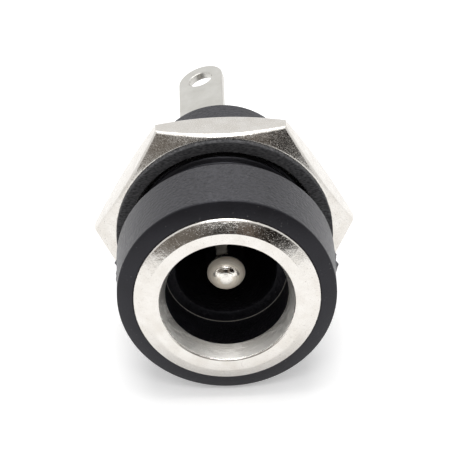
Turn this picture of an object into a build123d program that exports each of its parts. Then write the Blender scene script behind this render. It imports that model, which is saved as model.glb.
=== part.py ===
from build123d import *
import math
import os

os.makedirs("parts", exist_ok=True)

# Panel-mount DC power jack, 5.5 mm plug with a 2.5 mm centre pin.
# The axis of the jack runs along Y, with the mouth facing -Y and the solder lugs facing +Y.
# The origin is on the axis, in the plane of the flange's rear face, which seats on the panel.
# It lies on one flat of its nut. All lengths are in millimetres.

# Clearances
fit_gap = 0.02
slot_gap = 0.03
thread_gap = 0.05

# Threaded barrel, and the shoulder by which the flange stands out from it
thread_diameter = 11.0
thread_length = 7.3
thread_chamfer = 0.4
flange_shoulder = 1.25
flange_length = 4.3
flange_front_rise = 0.4
seat_relief = 0.1

# Bore for the plug, measured back from the flange's front edge
plug_bore_diameter = 6.2
plug_bore_depth = 9.8
counterbore_step = 0.7
counterbore_depth = 2.8
bore_edge = 0.15

# Rear body, with its wall outside the outer contacts
rear_wall = 0.575
rear_body_length = 3.7
rear_edge = 0.1

# Front ring, from the flange's rim inwards
flange_rim = 1.0
ring_bevel_width = 0.8
ring_face_width = 0.75
ring_lip = 0.1
ring_height = 0.95
ring_land = 0.08
ring_inner_seat = 0.3
ring_skirt_wall = 0.75
ring_skirt_depth = 1.5
ring_edge = 0.04

# Centre pin
pin_diameter = 2.5
pin_tip_depth = 1.65
pin_collar_diameter = 3.6
pin_collar_length = 0.5
pin_tail_diameter = 1.7
rivet_head_diameter = 2.7
rivet_head_height = 0.4

# Washer and nut
washer_overhang = 0.05
washer_play = 0.5
washer_thickness = 0.37
washer_edge = 0.05
panel_space = 2.55
nut_thickness = 2.4
nut_face_step = 0.2
nut_chamfer_angle = 30
nut_bore_chamfer = 0.3
nut_edge_break = 0.1

# Contacts, all cut from one sheet
sheet = 0.5
lug_width = 2.9
lug_length = 6.0
lug_hole_diameter = 1.5
lug_hole_from_tip = 1.5
lug_hole_edge = 0.05
contact_turn = 18
contact_setback = 0.75
arm_width = 0.65
arm_setback = 1.4
groove_gap = 0.2
arm_overhang = 1.1
leaf_reach = 0.65
leaf_nose_setback = 2.4
leaf_root_setback = 4.9
leaf_tip_land = 0.3
leaf_travel = 0.4
leaf_bend = 0.5
centre_lug_offset = 1.6
centre_lug_bend = 0.2
terminal_eye_diameter = 3.6

# Diameters that follow from the thread: flange and front ring, then washer and nut
flange_diameter = thread_diameter + 2 * flange_shoulder
ring_diameter = flange_diameter - 2 * flange_rim
ring_face_diameter = ring_diameter - 2 * ring_bevel_width
mouth_diameter = ring_face_diameter - 2 * ring_face_width
washer_outer_diameter = flange_diameter + 2 * washer_overhang
washer_inner_diameter = thread_diameter + 2 * washer_play
nut_across_flats = washer_outer_diameter + 2 * nut_face_step

# Sizes that follow from the plug's bore: counterbore, ring bore, contacts and rear body
counterbore_diameter = plug_bore_diameter + 2 * counterbore_step
ring_bore_diameter = counterbore_diameter - 2 * fit_gap
contact_offset = plug_bore_diameter / 2 + contact_setback
leaf_nose_radius = plug_bore_diameter / 2 - leaf_reach
rear_body_diameter = 2 * (contact_offset + rear_wall)

# Stations along the axis
front_edge = -flange_length
rear_face = thread_length + rear_body_length
counterbore_floor = front_edge + counterbore_depth
plug_bore_floor = front_edge + plug_bore_depth
arm_start = counterbore_floor + arm_setback
arm_end = arm_start + arm_width
groove_start = arm_start - groove_gap
groove_end = arm_end + groove_gap
lug_tip = rear_face + lug_length
washer_front = panel_space
nut_front = washer_front + washer_thickness

# Radii and widths that more than one piece uses
flange_radius = flange_diameter / 2
thread_radius = thread_diameter / 2
ring_radius = ring_diameter / 2
ring_skirt_radius = ring_radius - ring_skirt_wall
arm_outer = contact_offset - 0.4 * sheet
arm_inner = arm_outer - sheet
groove_radius = arm_outer + groove_gap / 2
leaf_tip_inner = arm_outer + fit_gap
channel_outer = leaf_tip_inner + sheet + leaf_travel
channel_inner = 0.85 * plug_bore_diameter / 2
slot_half_width = lug_width / 2 + slot_gap
channel_half_width = slot_half_width + slot_gap
leaf_middle = contact_offset - sheet / 2

# The three lugs lie one above the other, and the whole row of them is turned a little about the axis.
across = Vector(1, 0, 0).rotate(Axis.Y, -contact_turn)
outward = Vector(0, 0, 1).rotate(Axis.Y, -contact_turn)

# Lengthwise section through the three lugs: local X runs back, local Y runs out to the upper lug
side_plane = Plane(origin=(0, 0, 0), x_dir=(0, 1, 0), z_dir=across)


def cross_plane(station):
    """A plane square to the axis at this station, facing the mouth, with local Y out to the upper lug."""
    return Plane(origin=(0, station, 0), x_dir=across, z_dir=(0, -1, 0))


def lug_plane(height):
    """A plane in the sheet of a lug, at this height from the axis, with its local X along the jack."""
    return Plane(origin=outward * height, x_dir=(0, 1, 0), z_dir=outward)


def lug_outline(start):
    """The flat outline of a solder lug from this station to its round tip, with its wire hole."""
    tip_centre = lug_tip - lug_width / 2
    with Locations(((start + tip_centre) / 2, 0)):
        Rectangle(tip_centre - start, lug_width)
    with Locations((tip_centre, 0)):
        Circle(lug_width / 2)
    with Locations((lug_tip - lug_hole_from_tip, 0)):
        Circle(lug_hole_diameter / 2, mode=Mode.SUBTRACT)


def ease_wire_hole(contact):
    """Both edges of the punched wire hole in a lug are eased."""
    rims = contact.edges().filter_by(GeomType.CIRCLE)
    chamfer(rims.filter_by(lambda rim: abs(rim.radius - lug_hole_diameter / 2) < fit_gap), length=lug_hole_edge)


# Housing: flange, threaded barrel and rear body in one moulding
with BuildPart() as housing:
    with BuildSketch(Plane.YZ):
        with BuildLine():
            Polyline(
                (front_edge + ring_inner_seat, counterbore_diameter / 2),
                (front_edge + ring_inner_seat, ring_skirt_radius - fit_gap),
                (front_edge + ring_skirt_depth, ring_skirt_radius - fit_gap),
                (front_edge + ring_skirt_depth, ring_radius + fit_gap),
                (front_edge - flange_front_rise, ring_radius + fit_gap),
                (front_edge, flange_radius),
                (0, flange_radius),
                (0, thread_radius + seat_relief),
                (-seat_relief, thread_radius + seat_relief),
                (-seat_relief, thread_radius),
                (thread_length - thread_chamfer, thread_radius),
                (thread_length, thread_radius - thread_chamfer),
                (thread_length, rear_body_diameter / 2),
                (rear_face - rear_edge, rear_body_diameter / 2),
                (rear_face, rear_body_diameter / 2 - rear_edge),
                (rear_face, pin_tail_diameter / 2 + fit_gap),
                (plug_bore_floor, pin_tail_diameter / 2 + fit_gap),
                (plug_bore_floor, plug_bore_diameter / 2),
                (groove_end, plug_bore_diameter / 2),
                (groove_end, groove_radius),
                (groove_start, groove_radius),
                (groove_start, plug_bore_diameter / 2),
                (counterbore_floor + bore_edge, plug_bore_diameter / 2),
                (counterbore_floor, plug_bore_diameter / 2 + bore_edge),
                (counterbore_floor, counterbore_diameter / 2),
                close=True,
            )
        make_face()
    revolve(axis=Axis.Y)
    # Channel that the sprung leaf moves in
    with BuildSketch(side_plane):
        with Locations(((groove_start + plug_bore_floor) / 2, (channel_inner + channel_outer) / 2)):
            Rectangle(plug_bore_floor - groove_start, channel_outer - channel_inner)
    extrude(amount=channel_half_width, both=True, mode=Mode.SUBTRACT)
    # Slot through the rear wall, a close fit on the sheet of the sleeve contact
    with BuildSketch(side_plane):
        with Locations(((plug_bore_floor + rear_face) / 2, leaf_middle)):
            Rectangle(rear_face - plug_bore_floor, sheet + 2 * slot_gap)
    extrude(amount=slot_half_width, both=True, mode=Mode.SUBTRACT)
    # Slot through the wall for the strip of the switch contact
    with BuildSketch(side_plane):
        with Locations(((groove_start + rear_face) / 2, -leaf_middle)):
            Rectangle(rear_face - groove_start, sheet + 2 * slot_gap)
    extrude(amount=slot_half_width, both=True, mode=Mode.SUBTRACT)
housing.part.label = "housing"
export_step(housing.part, "parts/housing.step")

# Front ring: turned, with a flat face, an outer bevel, a countersunk mouth and a skirt pressed into the flange
with BuildPart() as front_ring:
    with BuildSketch(Plane.YZ):
        with BuildLine():
            Polyline(
                (front_edge + ring_inner_seat, ring_bore_diameter / 2),
                (front_edge + ring_inner_seat - ring_land, ring_bore_diameter / 2),
                (front_edge - ring_height + ring_edge, mouth_diameter / 2),
                (front_edge - ring_height, mouth_diameter / 2 + ring_edge),
                (front_edge - ring_height, ring_face_diameter / 2),
                (front_edge - flange_front_rise - ring_lip, ring_radius - ring_edge),
                (front_edge - flange_front_rise - ring_lip + ring_edge, ring_radius),
                (front_edge + ring_skirt_depth, ring_radius),
                (front_edge + ring_skirt_depth, ring_skirt_radius),
                (front_edge + ring_inner_seat, ring_skirt_radius),
                close=True,
            )
        make_face()
    revolve(axis=Axis.Y)
front_ring.part.label = "front_ring"
export_step(front_ring.part, "parts/front_ring.step")

# Centre pin: domed tip, collar on the floor of the bore, tail through the rear wall, riveted head
with BuildPart() as centre_pin:
    pin_radius = pin_diameter / 2
    pin_tip = front_edge + pin_tip_depth
    dome_base = pin_tip + pin_radius
    dome_middle = (dome_base - pin_radius * 0.5**0.5, pin_radius * 0.5**0.5)
    head_seat = rear_face + sheet
    head_top = head_seat + rivet_head_height
    with BuildSketch(Plane.YZ):
        with BuildLine():
            Line((pin_tip, 0), (head_top, 0))
            ThreePointArc((pin_tip, 0), dome_middle, (dome_base, pin_radius))
            Polyline(
                (dome_base, pin_radius),
                (plug_bore_floor - pin_collar_length, pin_radius),
                (plug_bore_floor - pin_collar_length, pin_collar_diameter / 2),
                (plug_bore_floor, pin_collar_diameter / 2),
                (plug_bore_floor, pin_tail_diameter / 2),
                (head_seat, pin_tail_diameter / 2),
                (head_seat, rivet_head_diameter / 2),
                (head_seat + rivet_head_height / 2, rivet_head_diameter / 2),
            )
            TangentArc(
                (head_seat + rivet_head_height / 2, rivet_head_diameter / 2),
                (head_top, pin_tail_diameter / 2),
                tangent=(1, 0),
            )
            Line((head_top, pin_tail_diameter / 2), (head_top, 0))
        make_face()
    revolve(axis=Axis.Y)
centre_pin.part.label = "centre_pin"
export_step(centre_pin.part, "parts/centre_pin.step")

# Sleeve contact: a leaf that arches into the bore, running back into the upper lug
with BuildPart() as sleeve_contact:
    with BuildLine(side_plane) as leaf_path:
        FilletPolyline(
            (rear_face, leaf_middle),
            (arm_start + leaf_root_setback, leaf_middle),
            (arm_start + leaf_nose_setback, leaf_nose_radius + sheet / 2),
            (arm_end + leaf_tip_land, leaf_tip_inner + sheet / 2),
            (arm_start, leaf_tip_inner + sheet / 2),
            radius=leaf_bend,
        )
    with BuildSketch(cross_plane(rear_face)):
        with Locations((0, leaf_middle)):
            Rectangle(lug_width, sheet)
    sweep(path=leaf_path.line)
    with BuildSketch(lug_plane(contact_offset)):
        lug_outline(rear_face)
    extrude(amount=-sheet)
    ease_wire_hole(sleeve_contact)
sleeve_contact.part.label = "sleeve_contact"
export_step(sleeve_contact.part, "parts/sleeve_contact.step")

# Switch contact: the lower lug and its strip, ending in a curved arm that reaches round under the leaf's tip
with BuildPart() as switch_contact:
    with BuildSketch(lug_plane(-contact_offset)):
        lug_outline(arm_start)
    extrude(amount=sheet)
    with BuildSketch(cross_plane(arm_end)):
        Circle(arm_outer)
        Circle(arm_inner, mode=Mode.SUBTRACT)
        with Locations((arm_outer - arm_overhang, 0)):
            Rectangle(2 * arm_outer, 2 * arm_outer, mode=Mode.INTERSECT)
    extrude(amount=arm_width)
    ease_wire_hole(switch_contact)
switch_contact.part.label = "switch_contact"
export_step(switch_contact.part, "parts/switch_contact.step")

# Centre terminal: an eye riveted on the tail of the pin, bent back into the middle lug
with BuildPart() as centre_terminal:
    with BuildSketch(cross_plane(rear_face)):
        Circle(terminal_eye_diameter / 2)
        with Locations((0, -centre_lug_offset / 2)):
            Rectangle(lug_width, centre_lug_offset)
        Circle(pin_tail_diameter / 2 + fit_gap, mode=Mode.SUBTRACT)
        with Locations((0, lug_width - centre_lug_offset)):
            Rectangle(terminal_eye_diameter, 2 * lug_width, mode=Mode.INTERSECT)
    extrude(amount=-sheet)
    with BuildSketch(lug_plane(-centre_lug_offset)):
        lug_outline(rear_face)
    extrude(amount=-sheet)
    bend_lines = centre_terminal.edges().filter_by(Axis((0, 0, 0), across)).sort_by(Axis.Y)
    fillet(bend_lines[1], radius=centre_lug_bend)
    fillet(bend_lines[0], radius=centre_lug_bend + sheet)
    ease_wire_hole(centre_terminal)
centre_terminal.part.label = "centre_terminal"
export_step(centre_terminal.part, "parts/centre_terminal.step")

# Flat washer, lying against the nut
with BuildPart() as flat_washer:
    with BuildSketch(Plane.XZ.offset(-washer_front)):
        Circle(washer_outer_diameter / 2)
        Circle(washer_inner_diameter / 2, mode=Mode.SUBTRACT)
    extrude(amount=-washer_thickness)
    chamfer(flat_washer.edges().filter_by(GeomType.CIRCLE), length=washer_edge)
flat_washer.part.label = "flat_washer"
export_step(flat_washer.part, "parts/flat_washer.step")

# Nut: hexagon with both ends chamfered to a round face
with BuildPart() as hex_nut:
    nut_back = nut_front + nut_thickness
    nut_corner = nut_across_flats / 2 / math.cos(math.radians(30))
    nut_face = washer_outer_diameter / 2
    corner_drop = (nut_corner - nut_face) * math.tan(math.radians(nut_chamfer_angle))
    nut_bore = thread_radius + thread_gap
    with BuildSketch(Plane.XZ.offset(-nut_front)):
        RegularPolygon(nut_across_flats / 2, 6, major_radius=False)
    extrude(amount=-nut_thickness)
    with BuildSketch(Plane.YZ):
        with BuildLine():
            Polyline(
                (nut_front, nut_bore + nut_bore_chamfer),
                (nut_front, nut_face),
                (nut_front + corner_drop, nut_corner),
                (nut_back - corner_drop, nut_corner),
                (nut_back, nut_face),
                (nut_back, nut_bore + nut_bore_chamfer),
                (nut_back - nut_bore_chamfer, nut_bore),
                (nut_front + nut_bore_chamfer, nut_bore),
                close=True,
            )
        make_face()
    revolve(axis=Axis.Y, mode=Mode.INTERSECT)
    chamfer(hex_nut.edges().filter_by(GeomType.HYPERBOLA), length=nut_edge_break)
hex_nut.part.label = "hex_nut"
export_step(hex_nut.part, "parts/hex_nut.step")
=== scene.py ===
import math

import bmesh
import bpy
from mathutils import Matrix, Vector, noise


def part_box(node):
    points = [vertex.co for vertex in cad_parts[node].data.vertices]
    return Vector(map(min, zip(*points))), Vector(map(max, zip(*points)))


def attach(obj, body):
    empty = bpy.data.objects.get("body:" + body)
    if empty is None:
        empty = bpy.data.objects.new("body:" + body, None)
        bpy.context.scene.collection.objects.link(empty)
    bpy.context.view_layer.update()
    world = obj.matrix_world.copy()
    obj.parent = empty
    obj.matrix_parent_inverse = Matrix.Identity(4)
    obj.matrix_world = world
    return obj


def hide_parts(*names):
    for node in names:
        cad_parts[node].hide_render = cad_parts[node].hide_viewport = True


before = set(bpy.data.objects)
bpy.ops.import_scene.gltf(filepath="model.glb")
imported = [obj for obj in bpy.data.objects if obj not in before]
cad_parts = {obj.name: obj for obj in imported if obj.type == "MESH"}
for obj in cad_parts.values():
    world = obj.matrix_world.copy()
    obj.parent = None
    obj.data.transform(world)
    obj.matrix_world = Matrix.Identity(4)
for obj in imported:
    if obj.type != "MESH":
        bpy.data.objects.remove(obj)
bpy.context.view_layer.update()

# A panel-mount DC power jack, lying on one flat of its nut on a white table.
# The axis of the jack runs along Y, with its mouth facing -Y. Lengths are in metres.
mm = 0.001

# Stations along the axis and radii, read from the parts in model.glb
housing_low, housing_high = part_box("housing")
ring_low, ring_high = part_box("front_ring")
pin_low, pin_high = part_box("centre_pin")
washer_low, washer_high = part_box("flat_washer")
nut_low, nut_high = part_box("hex_nut")

flange_radius = housing_high.x
flange_front = housing_low.y
rear_face = housing_high.y
ring_radius = ring_high.x
ring_front = ring_low.y
ring_back = ring_high.y
pin_tip = pin_low.y
collar_radius = pin_high.x
rivet_top = pin_high.y

# Housing
front_rise = 0.4 * mm
front_edge = flange_front + front_rise
thread_radius = 5.5 * mm
thread_pitch = 0.7 * mm
thread_depth = 0.34 * mm
thread_crest = 0.12
thread_root = 0.14
barrel_end = 7.3 * mm
barrel_chamfer = 0.4 * mm
seat_relief = 0.1 * mm
rear_body_radius = 4.425 * mm
bore_radius = 3.1 * mm
bore_floor = 5.5 * mm
counterbore_radius = 3.8 * mm
counterbore_floor = -1.5 * mm
tail_radius = 0.85 * mm
seat_gap = 0.02 * mm
rim_rounding = 0.09 * mm
skirt_seat = front_edge + 0.3 * mm
thread_fade_in = 0.6 * thread_pitch

# Edges of turned and stamped metal
edge_break = 0.05 * mm

# Front ring
ring_face_radius = 4.95 * mm
mouth_radius = 4.2 * mm
ring_bore_radius = 3.78 * mm
ring_bore_back = -4.0 * mm
ring_land = 0.08 * mm
ring_lip = 0.1 * mm
lip_rounding = 0.2 * mm
mouth_rounding = 0.07 * mm
face_rounding = 0.09 * mm
skirt_wall = 0.75 * mm

# Centre pin
pin_radius = 1.25 * mm
collar_length = 0.5 * mm
rivet_radius = 1.35 * mm
rivet_seat = rear_face + 0.5 * mm

# Nut and washer
nut_apothem = nut_high.z
nut_face_radius = 6.8 * mm
nut_slope = math.tan(math.radians(30))
nut_bore_radius = 5.55 * mm
nut_bore_chamfer = 0.3 * mm
nut_round = 0.3 * mm
nut_face_rounding = 0.22 * mm
nut_rear_rounding = 0.12 * mm
washer_bore_radius = 6.0 * mm
washer_wander = 0.018 * mm
washer_trim = 0.06 * mm

# Contacts
sheet = 0.5 * mm
lug_width = 2.9 * mm
contact_offset = 3.85 * mm
contact_turn = math.radians(18)
contact_play = 0.03 * mm
leaf_room_top = 4.57 * mm
across = Vector((math.cos(contact_turn), 0, math.sin(contact_turn)))
outward = Vector((-math.sin(contact_turn), 0, math.cos(contact_turn)))

# Rows and segments of the meshes
thread_rows_per_pitch = 22
chamfer_rows = 8
flange_rows = 24
turned_segments = 320
pin_segments = 128
washer_segments = 288
nut_segments = 432


# Mesh helpers

def add_piece(name, mesh, replaced=(), sharp=30):
    """Links a mesh as a piece of the jack that rides on its one body."""
    piece = bpy.data.objects.new(name, mesh)
    bpy.context.scene.collection.objects.link(piece)
    mesh.polygons.foreach_set("use_smooth", [True] * len(mesh.polygons))
    mesh.set_sharp_from_angle(angle=math.radians(sharp))
    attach(piece, "root")
    if replaced:
        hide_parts(*replaced)
    return piece


def rounded(points, steps=4):
    """The (y, r) points of a closed outline of (y, r, rounding radius) points, with its corners rounded."""
    outline = []
    count = len(points)
    for i, (y, r, size) in enumerate(points):
        corner = Vector((y, r))
        if size <= 0:
            outline.append(corner)
            continue
        before = (Vector(points[i - 1][:2]) - corner).normalized()
        after = (Vector(points[(i + 1) % count][:2]) - corner).normalized()
        half = before.angle(after) / 2
        reach = size / math.tan(half)
        middle = corner + (before + after).normalized() * (size / math.sin(half))
        start = corner + before * reach - middle
        end = corner + after * reach - middle
        sweep = start.angle_signed(end)
        for k in range(steps + 1):
            turn = Matrix.Rotation(-sweep * k / steps, 2)
            outline.append(middle + turn @ start)
    return outline


def turned_mesh(name, outline_at, segments):
    """A closed outline of (y, r) points, which may change with the angle, carried once round the Y axis."""
    made = bmesh.new()
    rings = []
    for i in range(segments):
        angle = 2 * math.pi * i / segments
        direction = Vector((math.cos(angle), 0, math.sin(angle)))
        rings.append([made.verts.new(direction * r + Vector((0, y, 0))) for y, r in outline_at(angle)])
    for i in range(segments):
        near, far = rings[i], rings[(i + 1) % segments]
        for j in range(len(near)):
            k = (j + 1) % len(near)
            made.faces.new((near[j], near[k], far[k], far[j]))
    bmesh.ops.remove_doubles(made, verts=made.verts, dist=1e-7)
    bmesh.ops.recalc_face_normals(made, faces=made.faces)
    mesh = bpy.data.meshes.new(name)
    made.to_mesh(mesh)
    made.free()
    return mesh


def cut_away(piece, cutter):
    """Subtracts the cutter from the piece and keeps the result as the piece's own mesh."""
    boolean = piece.modifiers.new("cut", "BOOLEAN")
    boolean.operation = "DIFFERENCE"
    boolean.solver = "EXACT"
    boolean.object = cutter
    evaluated = piece.evaluated_get(bpy.context.evaluated_depsgraph_get())
    mesh = bpy.data.meshes.new_from_object(evaluated)
    piece.modifiers.clear()
    piece.data = mesh
    bpy.data.objects.remove(cutter)


def block_mesh(name, along, sideways, out):
    """A box between two stations along the axis, two places across the contacts and two heights outward."""
    made = bmesh.new()
    bmesh.ops.create_cube(made, size=1)
    for vert in made.verts:
        y = along[0] if vert.co.y < 0 else along[1]
        x = sideways[0] if vert.co.x < 0 else sideways[1]
        z = out[0] if vert.co.z < 0 else out[1]
        vert.co = across * x + Vector((0, y, 0)) + outward * z
    bmesh.ops.recalc_face_normals(made, faces=made.faces)
    mesh = bpy.data.meshes.new(name)
    made.to_mesh(mesh)
    made.free()
    return mesh


# Housing: flange, threaded barrel and rear body in one moulding

side_parting = (0.0, math.pi)
flash_height = 0.32 * mm
flash_half_angle = math.radians(2.0)
flash_wave = 0.55 * mm
flash_start = -2.6 * mm
flash_fade = 1.2 * mm


def thread_surface(angle, y):
    """Radius of the threaded barrel: a thread with rounded flanks that fades in next to the flange."""
    turn = (y / thread_pitch - angle / (2 * math.pi)) % 1.0
    from_crest = min(turn, 1 - turn) * 2
    slope = (from_crest - thread_crest) / (1 - thread_crest - thread_root)
    slope = min(max(slope, 0), 1)
    depth = thread_depth * (1 - math.cos(math.pi * slope)) / 2
    fade_in = min(max((y - seat_relief) / thread_fade_in, 0), 1)
    return thread_radius - depth * fade_in


def flange_side(angle, y):
    """Radius of the flange's side, with a little flash along the two mould lines."""
    flash = 0
    for line in side_parting:
        off = (angle - line + math.pi) % (2 * math.pi) - math.pi
        if abs(off) < flash_half_angle:
            wave = noise.noise(Vector((y / flash_wave, line, 7.3))) + 0.25
            strip = min(max((y - flash_start) / flash_fade, 0), 1)
            flash = flash_height * max(wave, 0) * strip * (1 - abs(off) / flash_half_angle)
    return flange_radius + flash


def housing_outline(angle):
    """Section of the housing at this angle round the axis."""
    flange_back = 0
    inner = rounded([
        (counterbore_floor, counterbore_radius, 0),
        (skirt_seat, counterbore_radius, 0),
        (skirt_seat, ring_radius - skirt_wall - seat_gap, 0),
        (ring_back, ring_radius - skirt_wall - seat_gap, 0),
        (ring_back, ring_radius + seat_gap, 0),
        (flange_front, ring_radius + seat_gap, 0.03 * mm),
        (front_edge, flange_radius, rim_rounding),
        (flange_back, flange_radius, 0),
    ])
    rim_end = inner[-2].x
    side = []
    for k in range(1, flange_rows):
        y = rim_end + (flange_back - 0.06 * mm - rim_end) * k / flange_rows
        side.append((y, flange_side(angle, y)))
    corner = rounded([
        (front_edge, flange_radius, 0),
        (flange_back, flange_radius, 0.06 * mm),
        (flange_back, thread_radius + seat_relief, 0),
    ])[1:-1]
    thread_end = barrel_end - barrel_chamfer
    thread_rows = round(thread_rows_per_pitch * (thread_end - flange_back) / thread_pitch)
    thread = []
    for k in range(thread_rows + 1):
        y = flange_back + (thread_end - flange_back) * k / thread_rows
        thread.append((y, thread_surface(angle, y)))
    end_chamfer = []
    for k in range(1, chamfer_rows + 1):
        drop = barrel_chamfer * k / chamfer_rows
        y = thread_end + drop
        end_chamfer.append((y, min(thread_surface(angle, y), thread_radius - drop)))
    rear = rounded([
        (barrel_end, rear_body_radius, 0.05 * mm),
        (rear_face, rear_body_radius, 0.14 * mm),
        (rear_face, tail_radius + seat_gap, 0),
        (bore_floor, tail_radius + seat_gap, 0),
        (bore_floor, bore_radius, 0.1 * mm),
        (counterbore_floor, bore_radius, 0.12 * mm),
        (counterbore_floor, counterbore_radius, 0),
    ])[:-1]
    relief = [
        (flange_back, thread_radius + seat_relief),
        (-seat_relief, thread_radius + seat_relief),
        (-seat_relief, thread_radius),
    ]
    sections = (inner[:-1], side, corner, relief, thread, end_chamfer, rear)
    return [tuple(point) for section in sections for point in section]


housing = add_piece(
    "moulded_housing",
    turned_mesh("moulded_housing", housing_outline, turned_segments),
    ["housing"],
)


def slot_cutter(along, sideways, out):
    """A box-shaped cutter, linked to the scene until it has been used."""
    cutter = bpy.data.objects.new("cutter", block_mesh("cutter", along, sideways, out))
    bpy.context.scene.collection.objects.link(cutter)
    return cutter


channel_front = -0.3 * mm
slot_half_width = lug_width / 2 + contact_play
slot_half_height = sheet / 2 + contact_play
strip_middle = contact_offset - sheet / 2
overlap = 0.2 * mm
leaf_slot = (strip_middle - slot_half_height, strip_middle + slot_half_height)
switch_slot = (-strip_middle - slot_half_height, -strip_middle + slot_half_height)
for along, half_width, heights in (
    ((channel_front, bore_floor), slot_half_width + contact_play, (0.85 * bore_radius, leaf_room_top)),
    ((bore_floor - overlap, rear_face + overlap), slot_half_width, leaf_slot),
    ((channel_front, rear_face + overlap), slot_half_width, switch_slot),
):
    cut_away(housing, slot_cutter(along, (-half_width, half_width), heights))
housing.data.set_sharp_from_angle(angle=math.radians(30))

# Front ring, turned from bar: flat face, outer bevel, countersunk mouth, skirt inside the flange

ring_outline = rounded([
    (ring_bore_back, ring_bore_radius, edge_break),
    (ring_bore_back - ring_land, ring_bore_radius, edge_break),
    (ring_front, mouth_radius, mouth_rounding),
    (ring_front, ring_face_radius, face_rounding),
    (flange_front - ring_lip, ring_radius, lip_rounding),
    (ring_back, ring_radius, 0),
    (ring_back, ring_radius - skirt_wall, 0),
    (ring_bore_back, ring_radius - skirt_wall, 0),
])
front_ring = add_piece(
    "turned_ring",
    turned_mesh("turned_ring", lambda angle: ring_outline, turned_segments),
    ["front_ring"],
)

# Centre pin, with a domed tip and a riveted tail

dome_base = pin_tip + pin_radius
dome_steps = 14
dome = []
for k in range(dome_steps + 1):
    rise = math.pi / 2 * k / dome_steps
    dome.append((dome_base - pin_radius * math.cos(rise), max(pin_radius * math.sin(rise), 1e-6)))
pin_back = rounded([
    (dome_base, pin_radius, 0),
    (bore_floor - collar_length, pin_radius, 0.06 * mm),
    (bore_floor - collar_length, collar_radius, edge_break),
    (bore_floor, collar_radius, 0),
    (bore_floor, tail_radius, 0),
    (rivet_seat, tail_radius, 0),
    (rivet_seat, rivet_radius, 0.06 * mm),
    (rivet_top, rivet_radius * 0.8, 0.2 * mm),
    (rivet_top, 1e-6, 0),
])[1:]
pin_outline = dome + [tuple(p) for p in pin_back]
centre_pin = add_piece(
    "turned_pin",
    turned_mesh("turned_pin", lambda angle: pin_outline, pin_segments),
    ["centre_pin"],
)

# Flat washer, die-cut, with slightly uneven edges


def washer_outline(angle):
    """Section of the washer at this angle, a few hundredths of a millimetre out of round."""
    wander = washer_wander * noise.noise(Vector((math.cos(angle), math.sin(angle), 0)) * 9)
    outer = washer_high.x + wander - washer_trim
    inner = washer_bore_radius - wander
    return rounded([
        (washer_low.y, inner, 0.04 * mm),
        (washer_low.y, outer, 0.08 * mm),
        (washer_high.y, outer, 0.05 * mm),
        (washer_high.y, inner, 0.04 * mm),
    ])


flat_washer = add_piece(
    "cut_washer", turned_mesh("cut_washer", washer_outline, washer_segments), ["flat_washer"]
)

# Hexagonal nut, both ends chamfered to a round face


def nut_outline(angle):
    """Section of the nut at this angle: the chamfer reaches further down near the hexagon's corners."""
    sixth = math.pi / 3
    side = nut_apothem / math.cos(angle % sixth - sixth / 2)
    drop = (side - nut_face_radius) * nut_slope
    reach = min(nut_round, 2.6 * drop)
    return rounded([
        (nut_low.y, nut_bore_radius + nut_bore_chamfer, edge_break),
        (nut_low.y, nut_face_radius, nut_face_rounding),
        (nut_low.y + drop, side, reach),
        (nut_high.y - drop, side, reach),
        (nut_high.y, nut_face_radius, nut_rear_rounding),
        (nut_high.y, nut_bore_radius + nut_bore_chamfer, edge_break),
        (nut_high.y - nut_bore_chamfer, nut_bore_radius, 0.03 * mm),
        (nut_low.y + nut_bore_chamfer, nut_bore_radius, 0.03 * mm),
    ], steps=5)


hex_nut = add_piece(
    "plated_nut", turned_mesh("plated_nut", nut_outline, nut_segments), ["hex_nut"], sharp=40
)


# Materials

def new_material(name, metallic):
    """A material with a principled shader, and the object's own coordinates for its textures."""
    made = bpy.data.materials.new(name)
    made.use_nodes = True
    tree = made.node_tree
    shader = tree.nodes["Principled BSDF"]
    shader.inputs["Metallic"].default_value = metallic
    place = tree.nodes.new("ShaderNodeTexCoord")
    return made, tree, shader, place.outputs["Object"]


def add_noise(tree, place, size, detail=3.0, roughness=0.55, stretch=(1, 1, 1)):
    """Noise with features of about this size in metres."""
    scaled = tree.nodes.new("ShaderNodeMapping")
    scaled.inputs["Scale"].default_value = [s / size for s in stretch]
    tree.links.new(place, scaled.inputs["Vector"])
    made = tree.nodes.new("ShaderNodeTexNoise")
    made.inputs["Scale"].default_value = 1
    made.inputs["Detail"].default_value = detail
    made.inputs["Roughness"].default_value = roughness
    tree.links.new(scaled.outputs["Vector"], made.inputs["Vector"])
    return made.outputs["Fac"]


def add_range(tree, value, low, high, start=0.3, end=0.7):
    """Maps a factor from the range start to end onto low to high."""
    made = tree.nodes.new("ShaderNodeMapRange")
    made.inputs["From Min"].default_value = start
    made.inputs["From Max"].default_value = end
    made.inputs["To Min"].default_value = low
    made.inputs["To Max"].default_value = high
    tree.links.new(value, made.inputs["Value"])
    return made.outputs["Result"]


def smooth_step(tree, value, start, end):
    """A factor that rises smoothly from 0 at start to 1 at end."""
    made = tree.nodes.new("ShaderNodeMapRange")
    made.interpolation_type = "SMOOTHSTEP"
    made.inputs["From Min"].default_value = start
    made.inputs["From Max"].default_value = end
    tree.links.new(value, made.inputs["Value"])
    return made.outputs["Result"]


def add_mix(tree, factor, first, second):
    """Blends two colours by a factor. Each is a colour or another node's output."""
    made = tree.nodes.new("ShaderNodeMix")
    made.data_type = "RGBA"
    tree.links.new(factor, made.inputs["Factor"])
    for value, entry in ((first, made.inputs[6]), (second, made.inputs[7])):
        if isinstance(value, tuple):
            entry.default_value = value + (1,)
        else:
            tree.links.new(value, entry)
    return made.outputs[2]


def multiply(tree, first, second):
    """The product of two factors."""
    made = tree.nodes.new("ShaderNodeMath")
    made.operation = "MULTIPLY"
    tree.links.new(first, made.inputs[0])
    tree.links.new(second, made.inputs[1])
    return made.outputs[0]


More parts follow.
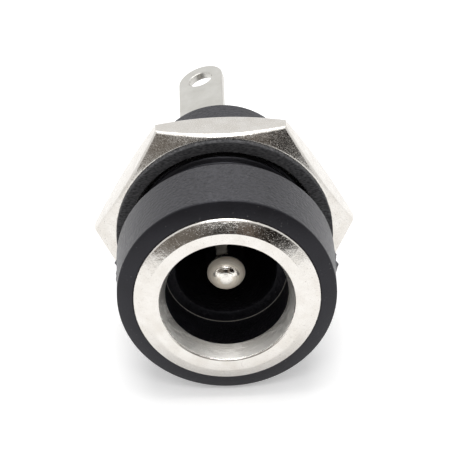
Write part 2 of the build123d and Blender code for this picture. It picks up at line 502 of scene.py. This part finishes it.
def add_larger(tree, first, second):
    """The larger of two factors."""
    made = tree.nodes.new("ShaderNodeMath")
    made.operation = "MAXIMUM"
    tree.links.new(first, made.inputs[0])
    tree.links.new(second, made.inputs[1])
    return made.outputs[0]


def add_near(tree, value, middle, reach):
    """A factor that is 1 where the value is at the middle, and falls to 0 at this reach to both sides."""
    made = tree.nodes.new("ShaderNodeMath")
    made.operation = "SUBTRACT"
    tree.links.new(value, made.inputs[0])
    made.inputs[1].default_value = middle
    away = tree.nodes.new("ShaderNodeMath")
    away.operation = "ABSOLUTE"
    tree.links.new(made.outputs[0], away.inputs[0])
    return add_range(tree, away.outputs[0], 1, 0, 0.6 * reach, reach)


def add_bump(tree, shader, heights):
    """Chains bumps of (height output, distance in metres, strength) into the shader's normal."""
    normal = None
    for height, distance, strength in heights:
        made = tree.nodes.new("ShaderNodeBump")
        made.inputs["Distance"].default_value = distance
        made.inputs["Strength"].default_value = strength
        tree.links.new(height, made.inputs["Height"])
        if normal is not None:
            tree.links.new(normal, made.inputs["Normal"])
        normal = made.outputs["Normal"]
    tree.links.new(normal, shader.inputs["Normal"])


def axis_places(tree, place):
    """Distance from the jack's axis, the station along it and the height above it."""
    parts = tree.nodes.new("ShaderNodeSeparateXYZ")
    tree.links.new(place, parts.inputs[0])
    flat = tree.nodes.new("ShaderNodeCombineXYZ")
    tree.links.new(parts.outputs["X"], flat.inputs["X"])
    tree.links.new(parts.outputs["Z"], flat.inputs["Z"])
    length = tree.nodes.new("ShaderNodeVectorMath")
    length.operation = "LENGTH"
    tree.links.new(flat.outputs[0], length.inputs[0])
    return length.outputs["Value"], parts.outputs["Y"], parts.outputs["Z"]


def turning_marks(tree, place, pitch):
    """Noise that changes quickly across the marks of a turning tool and slowly along them."""
    radius, station, _ = axis_places(tree, place)
    across_marks = tree.nodes.new("ShaderNodeCombineXYZ")
    tree.links.new(radius, across_marks.inputs["X"])
    tree.links.new(station, across_marks.inputs["Y"])
    quick = tree.nodes.new("ShaderNodeVectorMath")
    quick.operation = "SCALE"
    quick.inputs["Scale"].default_value = 1 / pitch
    tree.links.new(across_marks.outputs[0], quick.inputs[0])
    slow = tree.nodes.new("ShaderNodeVectorMath")
    slow.operation = "SCALE"
    slow.inputs["Scale"].default_value = 0.06 / pitch
    tree.links.new(place, slow.inputs[0])
    both = tree.nodes.new("ShaderNodeVectorMath")
    tree.links.new(quick.outputs[0], both.inputs[0])
    tree.links.new(slow.outputs[0], both.inputs[1])
    return add_noise(tree, both.outputs[0], 1.0, detail=2)


def black_moulding():
    """Black moulded plastic with a spark-eroded grain, pale specks of dust and a painted highlight line in
    the bore.

    The front band and the thread have no grain, and the bore is dull.
    """
    made, tree, shader, place = new_material("black_moulding", 0.0)
    grain = add_noise(tree, place, 0.07 * mm, detail=2)
    cloud = add_noise(tree, place, 1.6 * mm)
    colour = add_mix(tree, add_range(tree, cloud, 0, 1), (0.0045, 0.0045, 0.0056), (0.0080, 0.0078, 0.0100))
    dust = add_range(tree, add_noise(tree, place, 0.13 * mm, detail=1), 0, 0.5, 0.71, 0.80)
    dusty = add_mix(tree, dust, colour, (0.16, 0.155, 0.15))
    radius, station, _ = axis_places(tree, place)
    # Painted highlight: a thin pale line in the base colour round the edge of the counterbore floor.
    line_width = 0.05 * mm
    in_radius = add_near(tree, radius, counterbore_radius, line_width)
    in_station = add_near(tree, station, counterbore_floor, line_width)
    highlight_lined = add_mix(tree, multiply(tree, in_radius, in_station), dusty, (0.26, 0.25, 0.23))
    tree.links.new(highlight_lined, shader.inputs["Base Color"])
    shader.inputs["Specular Tint"].default_value = (0.92, 0.91, 1.0, 1)
    within = add_range(tree, radius, 1, 0, counterbore_radius, counterbore_radius + 0.05 * mm)
    ahead = add_range(tree, station, 1, 0, bore_floor, bore_floor + 0.1 * mm)
    sheen = add_range(tree, multiply(tree, within, ahead), 0.56, 0.12, 0, 1)
    behind_front = add_range(tree, station, 0, 1, front_edge, front_edge + 0.15 * mm)
    thread_middle = thread_radius - thread_depth / 2
    off_thread = add_range(tree, add_near(tree, radius, thread_middle, 0.5 * mm), 1, 0, 0, 1)
    grainy = multiply(tree, behind_front, off_thread)
    coarse = multiply(tree, grainy, add_noise(tree, place, 0.20 * mm, detail=2))
    mottled = multiply(tree, sheen, add_range(tree, coarse, 0.62, 1.6))
    tree.links.new(mottled, shader.inputs["Specular IOR Level"])
    tree.links.new(add_range(tree, coarse, 0.34, 0.54), shader.inputs["Roughness"])
    add_bump(tree, shader, [(cloud, 0.02 * mm, 0.3), (coarse, 0.06 * mm, 1.0), (grain, 0.02 * mm, 0.6)])
    return made


def black_fibre():
    """Black fibre sheet, duller than the moulding, with pale fibres at its surface."""
    made, tree, shader, place = new_material("black_fibre", 0.0)
    grain = add_noise(tree, place, 0.11 * mm, detail=3)
    fibre = add_noise(tree, place, 0.2 * mm, detail=2, stretch=(1, 1, 3.5))
    pale = add_range(tree, fibre, 0, 1, 0.35, 0.75)
    colour = add_mix(tree, pale, (0.026, 0.026, 0.028), (0.125, 0.124, 0.128))
    tree.links.new(colour, shader.inputs["Base Color"])
    shader.inputs["Specular IOR Level"].default_value = 0.25
    tree.links.new(add_range(tree, grain, 0.6, 0.9), shader.inputs["Roughness"])
    add_bump(tree, shader, [(grain, 0.02 * mm, 0.6)])
    return made


def nickel_plate(name, roughness, shine=1.0, pitted=0.45, marks=None, countersink=None):
    """Bright nickel plate on turned brass: fine pits, a warm cast, and the marks of the turning tool.

    Inside the radius of a countersink the plate is brighter with deeper marks, and a dark line
    runs round the lower part of its edge.
    """
    made, tree, shader, place = new_material(name, 1.0)
    pits = add_noise(tree, place, 0.07 * mm, detail=3)
    cloud = add_noise(tree, place, 0.8 * mm)
    dull = tuple(shine * part for part in (0.75, 0.715, 0.665))
    bright = tuple(shine * part for part in (0.84, 0.815, 0.775))
    colour = add_mix(tree, add_range(tree, cloud, 0, 1), dull, bright)
    stain = add_range(tree, pits, 0, pitted, 0.60, 0.78)
    colour = add_mix(tree, stain, colour, (0.34, 0.29, 0.24))
    polish = add_larger(tree, add_range(tree, pits, *roughness), add_range(tree, pits, 0, 0.75, 0.62, 0.68))
    heights = [(cloud, 0.05 * mm, 0.55), (pits, 0.010 * mm, 0.6)]
    if marks:
        pitch, depth = marks
        heights.append((turning_marks(tree, place, pitch), depth, 0.8))
    if countersink:
        radius, _, height = axis_places(tree, place)
        inside = add_range(tree, radius, 1, 0, countersink - 0.05 * mm, countersink)
        polish = add_larger(tree, polish, add_range(tree, inside, 0, 0.32, 0, 1))
        colour = add_mix(tree, inside, colour, (0.95, 0.93, 0.89))
        scores = turning_marks(tree, place, 0.035 * mm)
        heights.append((multiply(tree, scores, inside), 0.022 * mm, 1.0))
        # A dark line in the base colour round the countersink's edge, kept to its lower part by the height.
        edge_line = add_near(tree, radius, countersink + 0.05 * mm, 0.03 * mm)
        lower = add_range(tree, height, 0.8, 0, -0.8 * countersink, -0.5 * countersink)
        colour = add_mix(tree, multiply(tree, edge_line, lower), colour, (0.10, 0.085, 0.07))
    tree.links.new(colour, shader.inputs["Base Color"])
    tree.links.new(polish, shader.inputs["Roughness"])
    add_bump(tree, shader, heights)
    return made


def worn_pin():
    """Polished plate on the shaft, and a dull cream tip with a bright centre and a dark crescent."""
    made, tree, shader, place = new_material("pin_plate", 1.0)
    radius, _, height = axis_places(tree, place)
    marks = turning_marks(tree, place, 0.09 * mm)
    pits = add_noise(tree, place, 0.09 * mm, detail=3)
    upper = add_range(tree, height, 0, 1, 0.05 * mm, 0.25 * mm)
    crescent = multiply(tree, add_near(tree, radius, 0.56 * mm, 0.32 * mm), upper)
    centre = add_range(tree, radius, 1, 0, 0.32 * mm, 0.46 * mm)
    wall = add_range(tree, radius, 0, 1, 1.15 * mm, 1.20 * mm)
    polished = add_larger(tree, crescent, wall)
    bare = add_larger(tree, polished, centre)
    worn = add_mix(tree, add_range(tree, marks, 0, 1), (0.82, 0.72, 0.58), (0.99, 0.93, 0.82))
    specks = add_mix(tree, add_range(tree, pits, 0, 0.6, 0.55, 0.75), (0.82, 0.79, 0.74), (0.30, 0.26, 0.21))
    tree.links.new(add_mix(tree, bare, worn, specks), shader.inputs["Base Color"])
    tree.links.new(add_range(tree, bare, 0.15, 1.0, 0, 1), shader.inputs["Metallic"])
    tree.links.new(add_range(tree, polished, 0.36, 0.08, 0, 1), shader.inputs["Roughness"])
    add_bump(tree, shader, [(marks, 0.014 * mm, 0.8), (pits, 0.010 * mm, 0.5)])
    return made


def plated_sheet():
    """Satin plate on stamped brass sheet, with fine rolling lines along the jack."""
    made, tree, shader, place = new_material("tinned_sheet", 1.0)
    pits = add_noise(tree, place, 0.08 * mm, detail=3)
    lines = add_noise(tree, place, 0.05 * mm, detail=2, stretch=(1, 0.06, 1))
    cloud = add_noise(tree, place, 0.9 * mm)
    colour = add_mix(tree, add_range(tree, cloud, 0, 1), (0.54, 0.53, 0.495), (0.62, 0.61, 0.58))
    tree.links.new(colour, shader.inputs["Base Color"])
    tree.links.new(add_range(tree, pits, 0.32, 0.5), shader.inputs["Roughness"])
    add_bump(tree, shader, [(lines, 0.004 * mm, 0.4), (pits, 0.006 * mm, 0.4)])
    return made


def dress(piece, material):
    """Gives the piece one material on all of its faces."""
    piece.data.materials.clear()
    piece.data.materials.append(material)


moulding = black_moulding()
fibre = black_fibre()
nut_plate = nickel_plate("nut_plate", (0.14, 0.34), shine=0.83)
ring_plate = nickel_plate(
    "ring_plate", (0.10, 0.24), shine=0.86, marks=(0.05 * mm, 0.006 * mm), countersink=mouth_radius
)
pin_plate = worn_pin()
plated = plated_sheet()
dress(housing, moulding)
dress(flat_washer, fibre)
dress(front_ring, ring_plate)
dress(centre_pin, pin_plate)
dress(hex_nut, nut_plate)
for node in ("sleeve_contact", "switch_contact", "centre_terminal"):
    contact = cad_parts[node]
    for entry in contact.material_slots:
        entry.material = plated

# Table, studio and camera

table_height = nut_low.z


def directly_seen(tree):
    """1 for the rays that show the background: to the camera, in a mirroring face or through glass."""
    path = tree.nodes.new("ShaderNodeLightPath").outputs
    seen = add_larger(tree, path["Is Camera Ray"], path["Is Glossy Ray"])
    return add_larger(tree, seen, path["Is Transmission Ray"])


def build_table():
    """A white table top that keeps the jack's shadow, lifted a little where it is seen or mirrored."""
    made = bmesh.new()
    half_width = 0.9
    corners = ((-half_width, -0.22), (half_width, -0.22), (half_width, 1.2), (-half_width, 1.2))
    made.faces.new([made.verts.new((x, y, table_height)) for x, y in corners])
    mesh = bpy.data.meshes.new("table")
    made.to_mesh(mesh)
    made.free()
    table = bpy.data.objects.new("table", mesh)
    bpy.context.scene.collection.objects.link(table)
    surface = bpy.data.materials.new("white_table")
    surface.use_nodes = True
    tree = surface.node_tree
    shader = tree.nodes["Principled BSDF"]
    shader.inputs["Roughness"].default_value = 0.8
    shader.inputs["Specular IOR Level"].default_value = 0.1
    shader.inputs["Base Color"].default_value = (0.90, 0.90, 0.895, 1)
    glow = tree.nodes.new("ShaderNodeEmission")
    glow.inputs["Color"].default_value = (1, 1, 1, 1)
    lift = tree.nodes.new("ShaderNodeMath")
    lift.operation = "MULTIPLY"
    lift.inputs[1].default_value = 0.37
    tree.links.new(directly_seen(tree), lift.inputs[0])
    tree.links.new(lift.outputs[0], glow.inputs["Strength"])
    both = tree.nodes.new("ShaderNodeAddShader")
    tree.links.new(shader.outputs[0], both.inputs[0])
    tree.links.new(glow.outputs[0], both.inputs[1])
    tree.links.new(both.outputs[0], tree.nodes["Material Output"].inputs["Surface"])
    mesh.materials.append(surface)


def build_studio():
    """A white studio, with a dark room on the side that the mouth faces, seen only in reflections."""
    world = bpy.data.worlds.new("studio")
    bpy.context.scene.world = world
    world.use_nodes = True
    tree = world.node_tree
    direction = tree.nodes.new("ShaderNodeTexCoord").outputs["Generated"]
    parts = tree.nodes.new("ShaderNodeSeparateXYZ")
    tree.links.new(direction, parts.inputs[0])
    forward = smooth_step(tree, parts.outputs["Y"], -0.35, -0.62)
    above = smooth_step(tree, parts.outputs["Z"], 0.02, 0.10)
    below_lamp = smooth_step(tree, parts.outputs["Z"], 0.66, 0.54)
    dark = multiply(tree, forward, multiply(tree, above, below_lamp))
    leftward = smooth_step(tree, parts.outputs["X"], 0.0, -0.45)
    block_side = smooth_step(tree, parts.outputs["X"], 0.15, 0.19)
    block_end = smooth_step(tree, parts.outputs["X"], 0.36, 0.31)
    pale = add_mix(tree, leftward, (0.012, 0.009, 0.007), (0.18, 0.16, 0.14))
    room = add_mix(tree, multiply(tree, block_side, block_end), pale, (0.20, 0.16, 0.13))
    white = add_mix(tree, directly_seen(tree), (0.60, 0.60, 0.61), (1.0, 1.0, 1.0))
    path = tree.nodes.new("ShaderNodeLightPath")
    shown = add_mix(tree, path.outputs["Is Camera Ray"], add_mix(tree, dark, white, room), (1.0, 1.0, 1.0))
    background = tree.nodes["Background"]
    tree.links.new(shown, background.inputs["Color"])
    background.inputs["Strength"].default_value = 1.0


def add_lamp(name, place, aim, size, power):
    """A square soft box at this place, aimed at a point."""
    lamp = bpy.data.lights.new(name, "AREA")
    lamp.shape = "SQUARE"
    lamp.size = size
    lamp.energy = power
    holder = bpy.data.objects.new(name, lamp)
    holder.location = place
    holder.rotation_euler = (Vector(aim) - Vector(place)).to_track_quat("-Z", "Y").to_euler()
    bpy.context.scene.collection.objects.link(holder)


def build_camera():
    """The photograph's camera: a long lens, about 33 degrees above the table, in line with the jack."""
    elevation = math.radians(32.85)
    roll = math.radians(2.18)
    distance = 0.326
    picture_size = 450
    focal_pixels = 5332
    aim_right = 2.0
    aim_down = 69.4
    sensor = 36.0
    aim = Vector((0, front_edge, 0))
    forward = Vector((0, math.cos(elevation), -math.sin(elevation)))
    right = Vector((1, 0, 0))
    up = right.cross(forward)
    picture_right = right * math.cos(roll) - up * math.sin(roll)
    picture_up = right * math.sin(roll) + up * math.cos(roll)
    look = forward - picture_right * (aim_right / focal_pixels) + picture_up * (aim_down / focal_pixels)
    look.normalize()
    side = (picture_right - look * picture_right.dot(look)).normalized()
    top = side.cross(look)
    lens = bpy.data.cameras.new("camera")
    lens.sensor_width = sensor
    lens.lens = focal_pixels * sensor / picture_size
    lens.clip_start = 0.01
    lens.clip_end = 10
    camera = bpy.data.objects.new("camera", lens)
    turn = Matrix((side, top, -look)).transposed()
    camera.matrix_world = Matrix.Translation(aim - forward * distance) @ turn.to_4x4()
    bpy.context.scene.collection.objects.link(camera)
    bpy.context.scene.camera = camera


build_table()
build_studio()
add_lamp("top_box", (0.0, 0.06, 0.34), (0, 0, 0), 0.26, 0.66)
add_lamp("front_box", (0.0, -0.21, 0.27), (0, 0, 0), 0.12, 0.21)
build_camera()
bpy.context.scene.view_settings.view_transform = "Standard"
